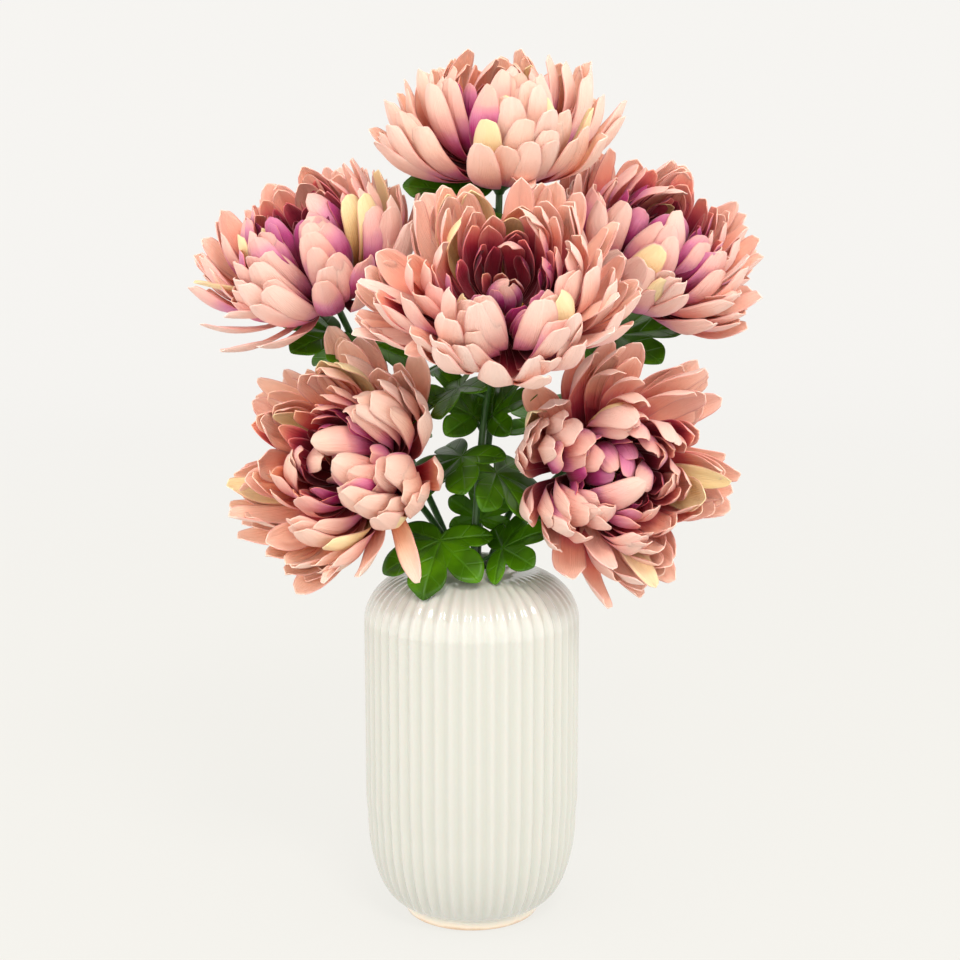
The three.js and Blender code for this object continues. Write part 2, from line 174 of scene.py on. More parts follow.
# One row per flower. `base` is the top of its calyx, `faces` the way it looks, `neck` its stem's
# place round the mouth and `bend` the point that its stem passes above the jar. The `leaves` are as
# in the part: how far up the stem, the way out and the rise in degrees, the stalk, the length of the
# middle lobe, its nod and its roll.
# Headings are degrees round the head. `bunches` have a heading and how much further they are shut,
# `curled` is the share of petals that curl in, and `gathered` how close a bunch draws its petals.
# The head is opened towards its `heart` and shut towards its `lean` by so many degrees. `blush` is
# how far the dye has spread and `warmth` how orange it is. `loose` petals have a heading, slopes,
# length, half width and share of cream. `cream` and `magenta` mark petals by cloth row and heading.
FLOWERS = [
    {
        "name": "top", "base": (16.5, 22.5, 446), "faces": (0, -0.25, 0.97), "neck": 75,
        "bend": (13, 23, 320), "seed": 11,
        "bunches": [(195, -8), (290, 4), (25, 0), (80, -4), (135, 0)],
        "curled": 0.06, "gathered": 0.3, "heart": (270, 0), "blush": 0.35, "warmth": 1.0,
        "lean": (270, 0), "loose": [(282, 14, -4, 62, 8.5, 0)],
        "cream": [(8, 57), (4, 262), (2, 240), (4, 308), (3, 342)],
        "magenta": [(8, 222), (4, 230)],
        "leaves": [
            (0.97, 192, 25, 18, 40, 12, -45), (0.96, 312, 0, 12, 30, 20, 0),
            (0.95, 85, 5, 14, 38, 20, 0), (0.83, 50, 10, 14, 38, 25, 0),
            (0.76, 140, 10, 14, 36, 25, 0), (0.61, 205, 5, 12, 28, 20, 0),
            (0.53, 272, 40, 9, 25, -40, 0),
        ],
    },
    {
        "name": "left", "base": (-83.5, 20.5, 376), "faces": (-0.35, -0.35, 0.87), "neck": 150,
        "bend": (-62, 42, 324), "seed": 23,
        "bunches": [(240, 0), (290, 2), (345, 2), (60, -4), (115, 0), (170, 2)],
        "curled": 0.08, "gathered": 0.18, "heart": (280, 6), "blush": 1.55, "warmth": 0.3,
        "lean": (290, 0), "loose": [
            (216, -10, 50, 84, 7.5, 0), (228, -14, 34, 84, 7, 0), (246, -16, 36, 82, 8.5, 0),
            (216, 32, 42, 84, 5.5, 1), (233, 14, 34, 80, 7, 0),
        ],
        "cream": [(6, 213), (8, 208), (4, 326), (5, 322), (4, 6)],
        "magenta": [(5, 250), (2, 304), (4, 220), (6, 262)],
        "leaves": [
            (0.93, 320, 0, 12, 38, 15, 30), (0.95, 235, 0, 12, 36, 10, -30),
            (0.91, 95, 5, 14, 38, 25, 0), (0.74, 135, 40, 14, 38, 10, 0),
        ],
    },
    {
        "name": "middle", "base": (18.5, -55, 362.6), "faces": (0, -0.68, 0.73), "neck": 275,
        "bend": (9, -16, 319), "seed": 37,
        "bunches": [(190, -18), (240, 4), (300, 4), (350, -4), (60, 2), (125, -6)],
        "curled": 0.1, "gathered": 0.2, "heart": (270, 30), "blush": 0.8, "warmth": 0.5,
        "lean": (270, 10), "loose": [
            (186, 20, 40, 82, 6, 0), (199, 0, 30, 82, 7, 0), (214, 8, 20, 58, 8, 0),
            (246, -14, 92, 78, 9, 0), (264, -24, 94, 82, 9.5, 0), (284, -20, 92, 80, 9.5, 0),
            (318, 10, 60, 84, 9, 0), (331, 26, 60, 82, 8, 0),
        ],
        "cream": [(6, 235), (4, 320), (5, 114), (4, 144), (7, 152), (7, 70)],
        "magenta": [(2, 298), (11, 146), (4, 200), (9, 240), (10, 300)],
        "leaves": [
            (0.8, 140, 50, 10, 38, 0, 0), (0.8, 25, 55, 10, 36, 0, 0),
            (0.77, 215, -10, 12, 42, 20, 0), (0.75, 318, -20, 12, 36, 20, 0),
            (0.58, 338, 33, 20, 33, 5, 36), (0.86, 195, 20, 16, 38, 50, 0),
        ],
    },
    {
        "name": "right", "base": (96, 56, 382), "faces": (0.42, -0.5, 0.76), "neck": 20,
        "bend": (72, 76, 334), "seed": 41,
        "bunches": [(200, -14), (265, 4), (325, 0), (30, -4), (85, 4), (140, -2)],
        "curled": 0.1, "gathered": 0.18, "heart": (260, 6), "blush": 1.35, "warmth": 0.25,
        "lean": (230, 4), "loose": [(330, 20, 88, 84, 8, 0), (323, 30, 44, 72, 7.5, 0)],
        "cream": [(4, 246), (1, 268), (9, 90)],
        "magenta": [(6, 304), (4, 210), (7, 250)],
        "leaves": [
            (0.9, 345, 20, 17, 42, 10, 32), (0.92, 215, -5, 12, 34, 25, -30),
            (0.9, 80, 5, 14, 38, 25, 0), (0.72, 70, 40, 14, 38, 10, 0),
        ],
    },
    {
        "name": "lower_left", "base": (-58, -12, 273), "faces": (-0.54, -0.77, 0.34), "neck": 220,
        "bend": (-39, 12, 259), "seed": 53,
        "bunches": [(13, 4), (62, -4), (118, -10), (172, 2), (232, -4), (310, -2)],
        "curled": 0.24, "gathered": 0.22, "heart": (318, 20), "blush": 0.7, "warmth": 1.0,
        "lean": (300, 16), "loose": [
            (282, 0, 24, 82, 7.5, 0), (252, 20, 50, 82, 8, 0), (266, 2, 58, 80, 8, 0),
        ],
        "cream": [(4, 80), (5, 58), (3, 262), (0, 282), (4, 176), (8, 94)],
        "magenta": [(3, 318), (0, 298), (5, 150), (5, 300)],
        "leaves": [(0.9, 172, 5, 14, 34, 20, -40), (0.74, 250, 38, 18, 40, 78, 0)],
    },
    {
        "name": "lower_right", "base": (72, -2, 275), "faces": (0.38, -0.92, 0.05), "neck": 325,
        "bend": (60, 27, 271), "seed": 67,
        "bunches": [(10, -2), (60, 4), (115, 6), (175, 2), (235, -2), (305, -4)],
        "curled": 0.24, "gathered": 0.2, "heart": (200, 22), "blush": 0.85, "warmth": 0.5,
        "lean": (250, 18), "loose": [
            (300, 34, 60, 82, 7.5, 0.8), (18, 34, 76, 82, 7, 1), (270, 24, 84, 82, 9, 0),
        ],
        "cream": [(0, 165), (4, 12), (5, 140)],
        "magenta": [(4, 180), (6, 198), (5, 268), (4, 54), (3, 215)],
        "leaves": [
            (0.92, 35, 5, 12, 34, 20, 20), (0.84, 240, 25, 8, 33, 20, -30),
            (0.8, 10, -10, 10, 30, 20, 0),
        ],
    },
]

# Half of a leaf's outline: degrees from its middle vein, and share of the middle lobe's length.
LEAF_HALF = [
    (0, 1), (10, 0.93), (20, 0.84), (25.5, 0.68), (28, 0.52), (30.5, 0.68), (36, 0.82), (44, 0.91),
    (52, 0.96), (61, 0.9), (70, 0.78), (77, 0.6), (80, 0.46), (84, 0.6), (94, 0.73), (106, 0.78),
    (120, 0.64), (142, 0.36), (165, 0.16), (180, 0.1),
]
LOBE_HEADINGS = (0, 52, -52, 106, -106)
LEAF_THICKNESS = 0.5
LEAF_SPOKES = 132
LEAF_RINGS = 7
RING_EASE = 0.8  # how much wider the inner rings are
LEAF_SEED_STEP = 7.3
LOBE_FOLD = 0.24  # rise for each millimetre from a lobe's vein
LEAF_ARCH = (0.02, 0.14)  # shares of the length that a lobe first rises and then hangs
RIPPLE_HEIGHT = 1.6
RIPPLE_GRAIN = (1.6, 2)  # steps of the ripples round the leaf and outward


# ---- helpers
def linear(code):
    """The linear colour of an sRGB hex value."""
    parts = [int(code[i:i + 2], 16) / 255 for i in (1, 3, 5)]
    return [p / 12.92 if p <= 0.04045 else ((p + 0.055) / 1.055) ** 2.4 for p in parts] + [1.0]


def node(tree, kind, inputs=None, stops=None, **settings):
    """Adds a node with its settings, its values and links, and a ramp's stops. In a mix of colours,
    inputs 6 and 7 are the two colours and output 2 is what they make."""
    made = tree.nodes.new("ShaderNode" + kind)
    for name, value in settings.items():
        setattr(made, name, value)
    for name, value in (inputs or {}).items():
        if isinstance(value, bpy.types.NodeSocket):
            tree.links.new(value, made.inputs[name])
        else:
            made.inputs[name].default_value = value
    if stops:
        elements = made.color_ramp.elements
        while len(elements) < len(stops):
            elements.new(1.0)
        for element, (place, code) in zip(elements, stops):
            element.position = place
            element.color = linear(code)
    return made


def new_material(name):
    """A bare material and its node tree."""
    material = bpy.data.materials.new(name)
    material.use_nodes = True
    material.node_tree.nodes.clear()
    return material, material.node_tree


def finish_material(tree, **inputs):
    """Ends a material in one principled shader."""
    named = {name.replace("_", " "): value for name, value in inputs.items()}
    shader = node(tree, "BsdfPrincipled", named)
    node(tree, "OutputMaterial", {"Surface": shader.outputs["BSDF"]})


def smooth(value, low, high):
    """0 below low, 1 above high, and an even curve between."""
    share = min(max((value - low) / (high - low), 0.0), 1.0)
    return share * share * (3 - 2 * share)


def curve_between(start, end, leave, arrive, t):
    """A point of the cubic curve between two values that leaves and arrives with these slopes."""
    return (
        start + leave * t + (3 * (end - start) - 2 * leave - arrive) * t ** 2
        + (2 * (start - end) + leave + arrive) * t ** 3
    )


def on_circle(radius, degrees, height):
    """A point on a level circle about the upright axis."""
    angle = math.radians(degrees)
    return Vector((radius * math.cos(angle), radius * math.sin(angle), height))


def head_place(flower):
    """Turns what stands upright at the origin to the way that a head looks, on top of its calyx."""
    turn = UP.rotation_difference(Vector(flower["faces"]).normalized())
    return Matrix.Translation(flower["base"]) @ turn.to_matrix().to_4x4()


def new_object(name, bm, materials):
    """Makes an object, in metres, of a mesh that is in millimetres."""
    bmesh.ops.scale(bm, vec=(MM, MM, MM), verts=bm.verts)
    mesh = bpy.data.meshes.new(name)
    bm.to_mesh(mesh)
    bm.free()
    mesh.shade_smooth()
    for material in materials:
        mesh.materials.append(material)
    made = bpy.data.objects.new(name, mesh)
    bpy.context.scene.collection.objects.link(made)
    return made


def make_piece(name, bm, materials, solid, thickness=0.0):
    """Makes a piece that stands for a node of the part, with a thickness if it is cloth."""
    made = new_object(name, bm, materials)
    if thickness:
        shell = made.modifiers.new("cloth thickness", "SOLIDIFY")
        shell.thickness = thickness * MM
        shell.offset = 0.0
        shell.use_even_offset = False
        shell.material_offset = len(materials) - 1
    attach(made, "root")
    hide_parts(solid)
    return made


# ---- materials
def glazed_stoneware():
    """Stoneware under a white tin glaze, cast in a ribbed mould: a deep gloss, cream and a little
    green where the glaze is thick in the furrows, and bare pinkish clay at the foot ring."""
    material, tree = new_material("white glazed stoneware")
    place = node(tree, "TexCoord").outputs["Object"]
    axes = node(tree, "SeparateXYZ", {"Vector": place})
    angle = node(tree, "Math", {0: axes.outputs["Y"], 1: axes.outputs["X"]}, operation="ARCTAN2")
    turns = node(tree, "Math", {0: angle.outputs[0], 1: RIB_COUNT}, operation="MULTIPLY")
    wave = node(tree, "Math", {0: turns.outputs[0]}, operation="COSINE")
    pooled = node(tree, "MapRange", {
        "Value": wave.outputs[0], "From Min": -1.0, "From Max": 1.0, "To Min": 0.0, "To Max": 1.0,
    })
    glaze = node(tree, "ValToRGB", {0: pooled.outputs[0]}, stops=[
        (0.0, "#C6C6BC"), (0.5, "#C8C8BF"), (1.0, "#CAC9C1"),
    ])
    # The glaze draws back from the last few millimetres above the table.
    mottle = node(tree, "TexNoise", {"Vector": place, "Scale": 60.0, "Detail": 3.0})
    shifted = node(tree, "Math", {
        0: mottle.outputs["Fac"], 1: 0.004, 2: axes.outputs["Z"],
    }, operation="MULTIPLY_ADD")
    bare = node(tree, "MapRange", {
        "Value": shifted.outputs[0], "From Min": 0.002, "From Max": 0.012, "To Min": 1.0, "To Max": 0.0,
    }, interpolation_type="SMOOTHSTEP")
    clay = node(tree, "ValToRGB", {0: bare.outputs[0]}, stops=[
        (0.0, "#C8C8BF"), (0.55, "#F0E8D8"), (0.9, "#F4E4CE"), (1.0, "#D8B898"),
    ])
    body = node(tree, "Mix", {
        "Factor": bare.outputs[0], 6: glaze.outputs["Color"], 7: clay.outputs["Color"],
    }, data_type="RGBA")
    # Hairline pits where the glaze parted over the mould's seams.
    drawn_out = node(tree, "Mapping", {"Vector": place, "Scale": (1.0, 1.0, 0.1)})
    grain = node(tree, "TexNoise", {"Vector": drawn_out.outputs[0], "Scale": 420.0, "Detail": 1.0})
    pits = node(tree, "MapRange", {
        "Value": grain.outputs["Fac"], "From Min": 0.8, "From Max": 0.86, "To Min": 0.0, "To Max": 0.5,
    })
    pitted = node(tree, "Mix", {
        "Factor": pits.outputs[0], 6: body.outputs[2], 7: linear("#A88A6C"),
    }, data_type="RGBA")
    # Slow waves in the poured glaze, about 20 mm long.
    ripple = node(tree, "TexNoise", {"Vector": place, "Scale": 48.0, "Detail": 1.5})
    bump = node(tree, "Bump", {"Height": ripple.outputs["Fac"], "Strength": 0.12, "Distance": 0.0015})
    finish_material(
        tree, Base_Color=pitted.outputs[2], Roughness=0.1, IOR=1.52, Normal=bump.outputs[0],
        Coat_Weight=0.7, Coat_Roughness=0.03, Subsurface_Weight=0.08, Subsurface_Scale=0.004,
    )
    return material


def printed_satin(name, stops):
    """Polyester satin, die cut, dyed outward from the middle of each disc of petals and pressed in a
    hot mould: a soft sheen, fine pleats along each petal and light that comes through the cloth."""
    material, tree = new_material(name)
    cut = node(tree, "UVMap", uv_map="cut")
    flat = node(tree, "SeparateXYZ", {"Vector": cut.outputs["UV"]})
    dye = node(tree, "Attribute", attribute_name="dye")
    parts = node(tree, "SeparateColor", {"Color": dye.outputs["Color"]})
    place = node(tree, "TexCoord").outputs["Object"]
    cloud = node(tree, "TexNoise", {"Vector": place, "Scale": 55.0, "Detail": 2.0})
    # V is the distance from the middle of the disc, where 1 is 100 mm.
    bleed = node(tree, "Math", {
        0: cloud.outputs["Fac"], 1: -0.14, 2: flat.outputs["Y"],
    }, operation="MULTIPLY_ADD")
    reach = node(tree, "Math", {
        0: parts.outputs["Green"], 1: -0.3, 2: bleed.outputs[0],
    }, operation="MULTIPLY_ADD")
    pink = node(tree, "ValToRGB", {0: reach.outputs[0]}, stops=stops)
    warm = node(tree, "HueSaturation", {
        "Hue": 0.512, "Saturation": 1.15, "Value": 0.98, "Color": pink.outputs["Color"],
    })
    toned = node(tree, "Mix", {
        "Factor": parts.outputs["Red"], 6: pink.outputs["Color"], 7: warm.outputs["Color"],
    }, data_type="RGBA")
    cream = node(tree, "ValToRGB", {0: flat.outputs["Y"]}, stops=[
        (0.2, "#7A1737"), (0.34, "#CE9450"), (0.5, "#E6C082"), (0.75, "#EED8A8"),
    ])
    dyed = node(tree, "Mix", {
        "Factor": parts.outputs["Blue"], 6: toned.outputs[2], 7: cream.outputs["Color"],
    }, data_type="RGBA")
    # The hot knife leaves a deeper line along the cut edge.
    middle = node(tree, "Math", {0: flat.outputs["X"], 1: 0.5}, operation="SUBTRACT")
    side = node(tree, "Math", {0: middle.outputs[0]}, operation="ABSOLUTE")
    rim = node(tree, "MapRange", {
        "Value": side.outputs[0], "From Min": 0.46, "From Max": 0.5, "To Min": 0.0, "To Max": 0.5,
    }, interpolation_type="SMOOTHSTEP")
    edged = node(tree, "Mix", {
        "Factor": rim.outputs[0], 6: dyed.outputs[2], 7: linear("#D07C7C"),
    }, data_type="RGBA")
    # Pleats 2 to 3 mm apart fan out from the claw, and the weave is drawn at 0.9 mm, four times too
    # coarse, so that it shows.
    stretch = node(tree, "Mapping", {"Vector": cut.outputs["UV"], "Scale": (6.0, 3.0, 1.0)})
    pleats = node(tree, "TexNoise", {
        "Vector": stretch.outputs[0], "Scale": 1.0, "Detail": 3.0, "Roughness": 0.6,
    })
    threads = node(tree, "TexWave", {
        "Vector": cut.outputs["UV"], "Scale": 6.0, "Distortion": 1.5, "Detail": 1.0,
    })
    relief = node(tree, "Math", {
        0: threads.outputs["Fac"], 1: 0.08, 2: pleats.outputs["Fac"],
    }, operation="MULTIPLY_ADD")
    bump = node(tree, "Bump", {"Height": relief.outputs[0], "Strength": 0.55, "Distance": 0.0022})
    finish_material(
        tree, Base_Color=edged.outputs[2], Roughness=0.62, IOR=1.46, Normal=bump.outputs[0],
        Sheen_Weight=0.1, Sheen_Roughness=0.4, Subsurface_Weight=0.4,
        Subsurface_Scale=0.0008, Subsurface_Radius=(1.0, 0.9, 0.9),
    )
    return material


def flocked_plastic():
    """Moulded polyethylene stamens with a flock of yellow dust: matt, orange at the root."""
    material, tree = new_material("flocked stamen plastic")
    height = node(tree, "Attribute", attribute_name="dye")
    place = node(tree, "TexCoord").outputs["Object"]
    speck = node(tree, "TexNoise", {"Vector": place, "Scale": 1400.0})
    tone = node(tree, "Math", {
        0: speck.outputs["Fac"], 1: 0.3, 2: height.outputs["Fac"],
    }, operation="MULTIPLY_ADD")
    paint = node(tree, "ValToRGB", {0: tone.outputs[0]}, stops=[
        (0.1, "#7A2A14"), (0.5, "#C8741A"), (0.9, "#E9A321"), (1.0, "#F2C247"),
    ])
    bump = node(tree, "Bump", {"Height": speck.outputs["Fac"], "Strength": 0.5, "Distance": 0.0004})
    finish_material(tree, Base_Color=paint.outputs["Color"], Roughness=0.75, Normal=bump.outputs[0])
    return material


def printed_leaf():
    """Polyester leaf cloth with a lacquered face: a wet gloss over a mottled green, and faint paler
    veins, heat-pressed 12 mm apart."""
    material, tree = new_material("lacquered leaf cloth")
    blade = node(tree, "UVMap", uv_map="blade")
    flat = node(tree, "SeparateXYZ", {"Vector": blade.outputs["UV"]})
    aside = node(tree, "Math", {0: flat.outputs["X"]}, operation="ABSOLUTE")
    # U is the distance from a lobe's own vein and V the distance along it, where 1 is 100 mm.
    swept = node(tree, "Math", {
        0: aside.outputs[0], 1: -0.9, 2: flat.outputs["Y"],
    }, operation="MULTIPLY_ADD")
    spaced = node(tree, "Math", {0: swept.outputs[0], 1: 0.06}, operation="PINGPONG")
    side_vein = node(tree, "MapRange", {
        "Value": spaced.outputs[0], "From Min": 0.0, "From Max": 0.011, "To Min": 0.6, "To Max": 0.0,
    }, interpolation_type="SMOOTHSTEP")
    main_vein = node(tree, "MapRange", {
        "Value": aside.outputs[0], "From Min": 0.002, "From Max": 0.012, "To Min": 1.0, "To Max": 0.0,
    }, interpolation_type="SMOOTHSTEP")
    vein = node(tree, "Math", {0: side_vein.outputs[0], 1: main_vein.outputs[0]}, operation="MAXIMUM")
    place = node(tree, "TexCoord").outputs["Object"]
    cloud = node(tree, "TexNoise", {"Vector": place, "Scale": 45.0, "Detail": 3.0})
    green = node(tree, "ValToRGB", {0: cloud.outputs["Fac"]}, stops=[
        (0.3, "#2A4C02"), (0.5, "#3C6803"), (0.75, "#588E06"),
    ])
    veined = node(tree, "Mix", {
        "Factor": vein.outputs[0], 6: green.outputs["Color"], 7: linear("#6BA436"),
    }, data_type="RGBA")
    faint = node(tree, "Mix", {
        "Factor": 0.16, 6: green.outputs["Color"], 7: veined.outputs[2],
    }, data_type="RGBA")
    dents = node(tree, "Math", {
        0: cloud.outputs["Fac"], 1: 0.9, 2: vein.outputs[0],
    }, operation="MULTIPLY_ADD")
    bump = node(tree, "Bump", {
        "Height": dents.outputs[0], "Strength": 0.5, "Distance": 0.0009,
    }, invert=True)
    finish_material(
        tree, Base_Color=faint.outputs[2], Roughness=0.34, IOR=1.47, Specular_IOR_Level=0.22,
        Normal=bump.outputs[0], Subsurface_Weight=0.12, Subsurface_Scale=0.002,
        Subsurface_Radius=(0.5, 1.0, 0.2),
    )
    return material


def moulded_stem():
    """Polyethylene moulded over wire: a waxy dark green with fine grooves along it."""
    material, tree = new_material("moulded stem polyethylene")
    place = node(tree, "TexCoord").outputs["Object"]
    long_way = node(tree, "Mapping", {"Vector": place, "Scale": (1.0, 1.0, 0.12)})
    streak = node(tree, "TexNoise", {"Vector": long_way.outputs[0], "Scale": 900.0, "Detail": 2.0})
    green = node(tree, "ValToRGB", {0: streak.outputs["Fac"]}, stops=[
        (0.3, "#24451A"), (0.6, "#335C22"), (0.8, "#43702C"),
    ])
    bump = node(tree, "Bump", {"Height": streak.outputs["Fac"], "Strength": 0.4, "Distance": 0.0005})
    finish_material(
        tree, Base_Color=green.outputs["Color"], Roughness=0.45, IOR=1.51, Normal=bump.outputs[0],
    )
    return material


# ---- jar
def quarter(centre, half, start, end, steps):
    """Points of radius and height on part of an ellipse, angles in degrees."""
    points = []
    for i in range(steps + 1):
        angle = math.radians(start + (end - start) * i / steps)
        points.append((centre[0] + half[0] * math.cos(angle), centre[1] + half[1] * math.sin(angle)))
    return points


def roll_outline(bm, outline):
    """Rolls a sheet into a round wall through points of radius and height. Returns its vertices."""
    rows = len(outline) - 1
    sheet = bmesh.ops.create_grid(bm, x_segments=JAR_SIDES, y_segments=rows, size=0.5)["verts"]
    low, high = min(v.co.x for v in sheet), max(v.co.x for v in sheet)
    for vertex in sheet:
        angle = 2 * math.pi * (vertex.co.x - low) / (high - low)
        radius, height = outline[round(rows * (vertex.co.y - low) / (high - low))]
        vertex.co = (radius * math.cos(angle), radius * math.sin(angle), height)
    return sheet


def rib_depth(z):
    """How deep the furrows are at a height: they run from the foot ring and die out at the collar."""
    risen = smooth(z, FOOT_HEIGHT, FOOT_HEIGHT + RIB_RUN_IN)
    return RIB_DEPTH * risen * (1 - smooth(z, *COLLAR_BLEND))


def build_jar():
    """The jar: its outside with furrows pressed into it, and its hollow, joined at the rim."""
    bm = bmesh.new()
    outside = [
        (0, FOOT_RECESS), (32, FOOT_RECESS), (34, 0.3), (35, 0), (39.8, 0), (40.7, 0.35),
        (FOOT_RADIUS, 1.2), (FOOT_RADIUS, 4), (FOOT_RADIUS, 5.6), (41.3, 6.3), (42.2, 6.9),
    ]
    outside += quarter((42.5, 62.5), (21.5, 55), -86, 0, CURVE_STEPS)
    outside += [(JAR_RADIUS, height) for height in (74, 98, 122, 146, 168)]
    shoulder = (JAR_RADIUS - SHOULDER_WIDTH, SHOULDER_START)
    outside += quarter(shoulder, (SHOULDER_WIDTH, SHOULDER_HEIGHT), 0, 86, CURVE_STEPS)
    outside += [
        (29.4, 213.3), (28.5, 213.9), (28.1, 215), (28, 216.2), (27.6, 217.2), (26.8, 217.8),
        (RIM_RADIUS, JAR_HEIGHT),
    ]
    for vertex in roll_outline(bm, outside):
        if vertex.co.z < FOOT_HEIGHT:
            continue
        angle = math.atan2(vertex.co.y, vertex.co.x)
        wave = 0.5 - 0.5 * math.cos(RIB_COUNT * angle)
        keep = 1 - rib_depth(vertex.co.z) * wave / math.hypot(vertex.co.x, vertex.co.y)
        vertex.co.x *= keep
        vertex.co.y *= keep
    inside = [
        (RIM_RADIUS, JAR_HEIGHT), (24.2, 217.8), (22.9, 217), (22.2, 215.6), (MOUTH_RADIUS, 213),
        (MOUTH_RADIUS, 210.5),
    ]
    inside += quarter((MOUTH_RADIUS, SHOULDER_START), (36.2, 26), 90, 0, HOLLOW_STEPS)
    inside += [(INNER_RADIUS, 140), (INNER_RADIUS, 100)]
    inside += quarter((35, 60), (23.2, 51), 0, -90, HOLLOW_STEPS) + [(0, JAR_FLOOR)]
    roll_outline(bm, inside)
    bmesh.ops.remove_doubles(bm, verts=bm.verts, dist=1e-3)
    bmesh.ops.recalc_face_normals(bm, faces=bm.faces)
    make_piece("ribbed_jar", bm, [glazed_stoneware()], "jar")


# ---- petals
def between_rows(place):
    """The shape of a row that stands between two of the part's rows."""
    low = min(max(int(math.floor(place)), 0), len(PETAL_ROWS) - 2)
    share = place - low
    first, second = PETAL_ROWS[low], PETAL_ROWS[low + 1]
    blend = {key: first[key] + (second[key] - first[key]) * share for key in ("length", "from", "to")}
    blend["root"] = Vector(first["root"]).lerp(Vector(second["root"]), share)
    return blend


def petal_width(along, petal):
    """The share of its greatest width: a narrow claw that swells into a long oval."""
    swell = CLAW_WIDTH + (1 - CLAW_WIDTH) * smooth(along, SWELL_START, petal["shoulder"])
    closing = max(0.0, (along - petal["shoulder"]) / (1.0 - petal["shoulder"]))
    kept = 1 - (1 - petal["tip_width"] ** 2) * closing ** petal["bluntness"]
    return swell * math.sqrt(max(0.0, kept))


def add_petal(bm, petal):
    """One pressed petal: a narrow claw, then a spoon with its edges and its tip turned inward."""
    cut = bm.loops.layers.uv["cut"]
    dye = bm.verts.layers.float_color["dye"]
    grid = bmesh.ops.create_grid(
        bm, x_segments=PETAL_COLUMNS, y_segments=PETAL_STATIONS, size=0.5,
    )["verts"]
    start = math.radians(petal["from"])
    turn = math.radians(petal["to"] - petal["from"])
    heading, length, half = petal["heading"], petal["length"], petal["half"]
    outward = Vector((math.cos(heading), math.sin(heading), 0))
    root_radius, root_height = petal["root"]
    low = min(vertex.co.x for vertex in grid)
    high = max(vertex.co.x for vertex in grid)
    flat = {}
    for vertex in grid:
        u = 2 * (vertex.co.x - low) / (high - low) - 1
        v = 1 - (1 - (vertex.co.y - low) / (high - low)) ** STATION_EASE
        side = abs(u)
        along = v * (1 - petal["round"] * side * side * v ** 6)
        width = half * petal_width(along, petal)
        slope = start + turn * along
        reach = root_radius + length / turn * (math.sin(slope) - math.sin(start))
        climb = root_height + length / turn * (math.cos(start) - math.cos(slope))
        forward = outward * math.cos(slope) + UP * math.sin(slope)
        inward = UP * math.cos(slope) - outward * math.sin(slope)
        inward = Quaternion(forward, petal["roll"] * along) @ inward
        spoon = smooth(along, *SPOON)
        cup = petal["cup"] * width * side ** CUP_POWER * (CLAW_CUP + (1 - CLAW_CUP) * spoon)
        hood = petal["hood"] * half * smooth(along, *HOOD) ** 1.5
        wave = math.sin(petal["phase"] + RUFFLE_TURNS[0] * v + RUFFLE_TURNS[1] * u)
        ruffle = petal["ruffle"] * wave * side * side * spoon
        crease = petal["crease"] * math.exp(-((u / CREASE_WIDTH) ** 2)) * spoon
        torn = noise.noise(Vector((u * FRAY_GRAIN[0], v * FRAY_GRAIN[1], petal["phase"])))
        rough = petal["fray"] * torn * smooth(side, FRAY_EDGE, 1)
        sideways = u * width + petal["sway"] * length * along * along + math.copysign(rough, u)
        vertex.co = (
            outward * reach + UP * climb + forward.cross(inward) * sideways
            + inward * (cup + hood + ruffle - crease)
        )
        vertex[dye] = (petal["tone"], petal["blush"], petal["cream"], 1)
        flat[vertex] = (0.5 + 0.5 * u, (CLAW_START + petal["dyed"] * v) / UV_UNIT)
    for face in {face for vertex in grid for face in vertex.link_faces}:
        for loop in face.loops:
            loop[cut].uv = flat[loop.vert]


def nearest_petals(marks, number, headings):
    """Which petals of a row stand nearest to the marked headings of that row."""
    found = set()
    for row, degrees in marks:
        if row == number:
            mark = math.radians(degrees)
            found.add(min(range(len(headings)), key=lambda i: -math.cos(headings[i] - mark)))
    return found


def bunch_of(flower, heading):
    """The bunch that a petal belongs to: how far round from its middle the petal stands, in radians
    and as a share of half the bunch, and how much further the bunch is shut, in degrees."""
    middles = [(math.radians(degrees), shut) for degrees, shut in flower["bunches"]]
    offsets = [(math.remainder(heading - middle, 2 * math.pi), shut) for middle, shut in middles]
    offset, shut = min(offsets, key=lambda pair: abs(pair[0]))
    beyond = min(abs(other) for other, _ in offsets if other * offset < 0)
    return offset, 2 * offset / (abs(offset) + beyond), shut


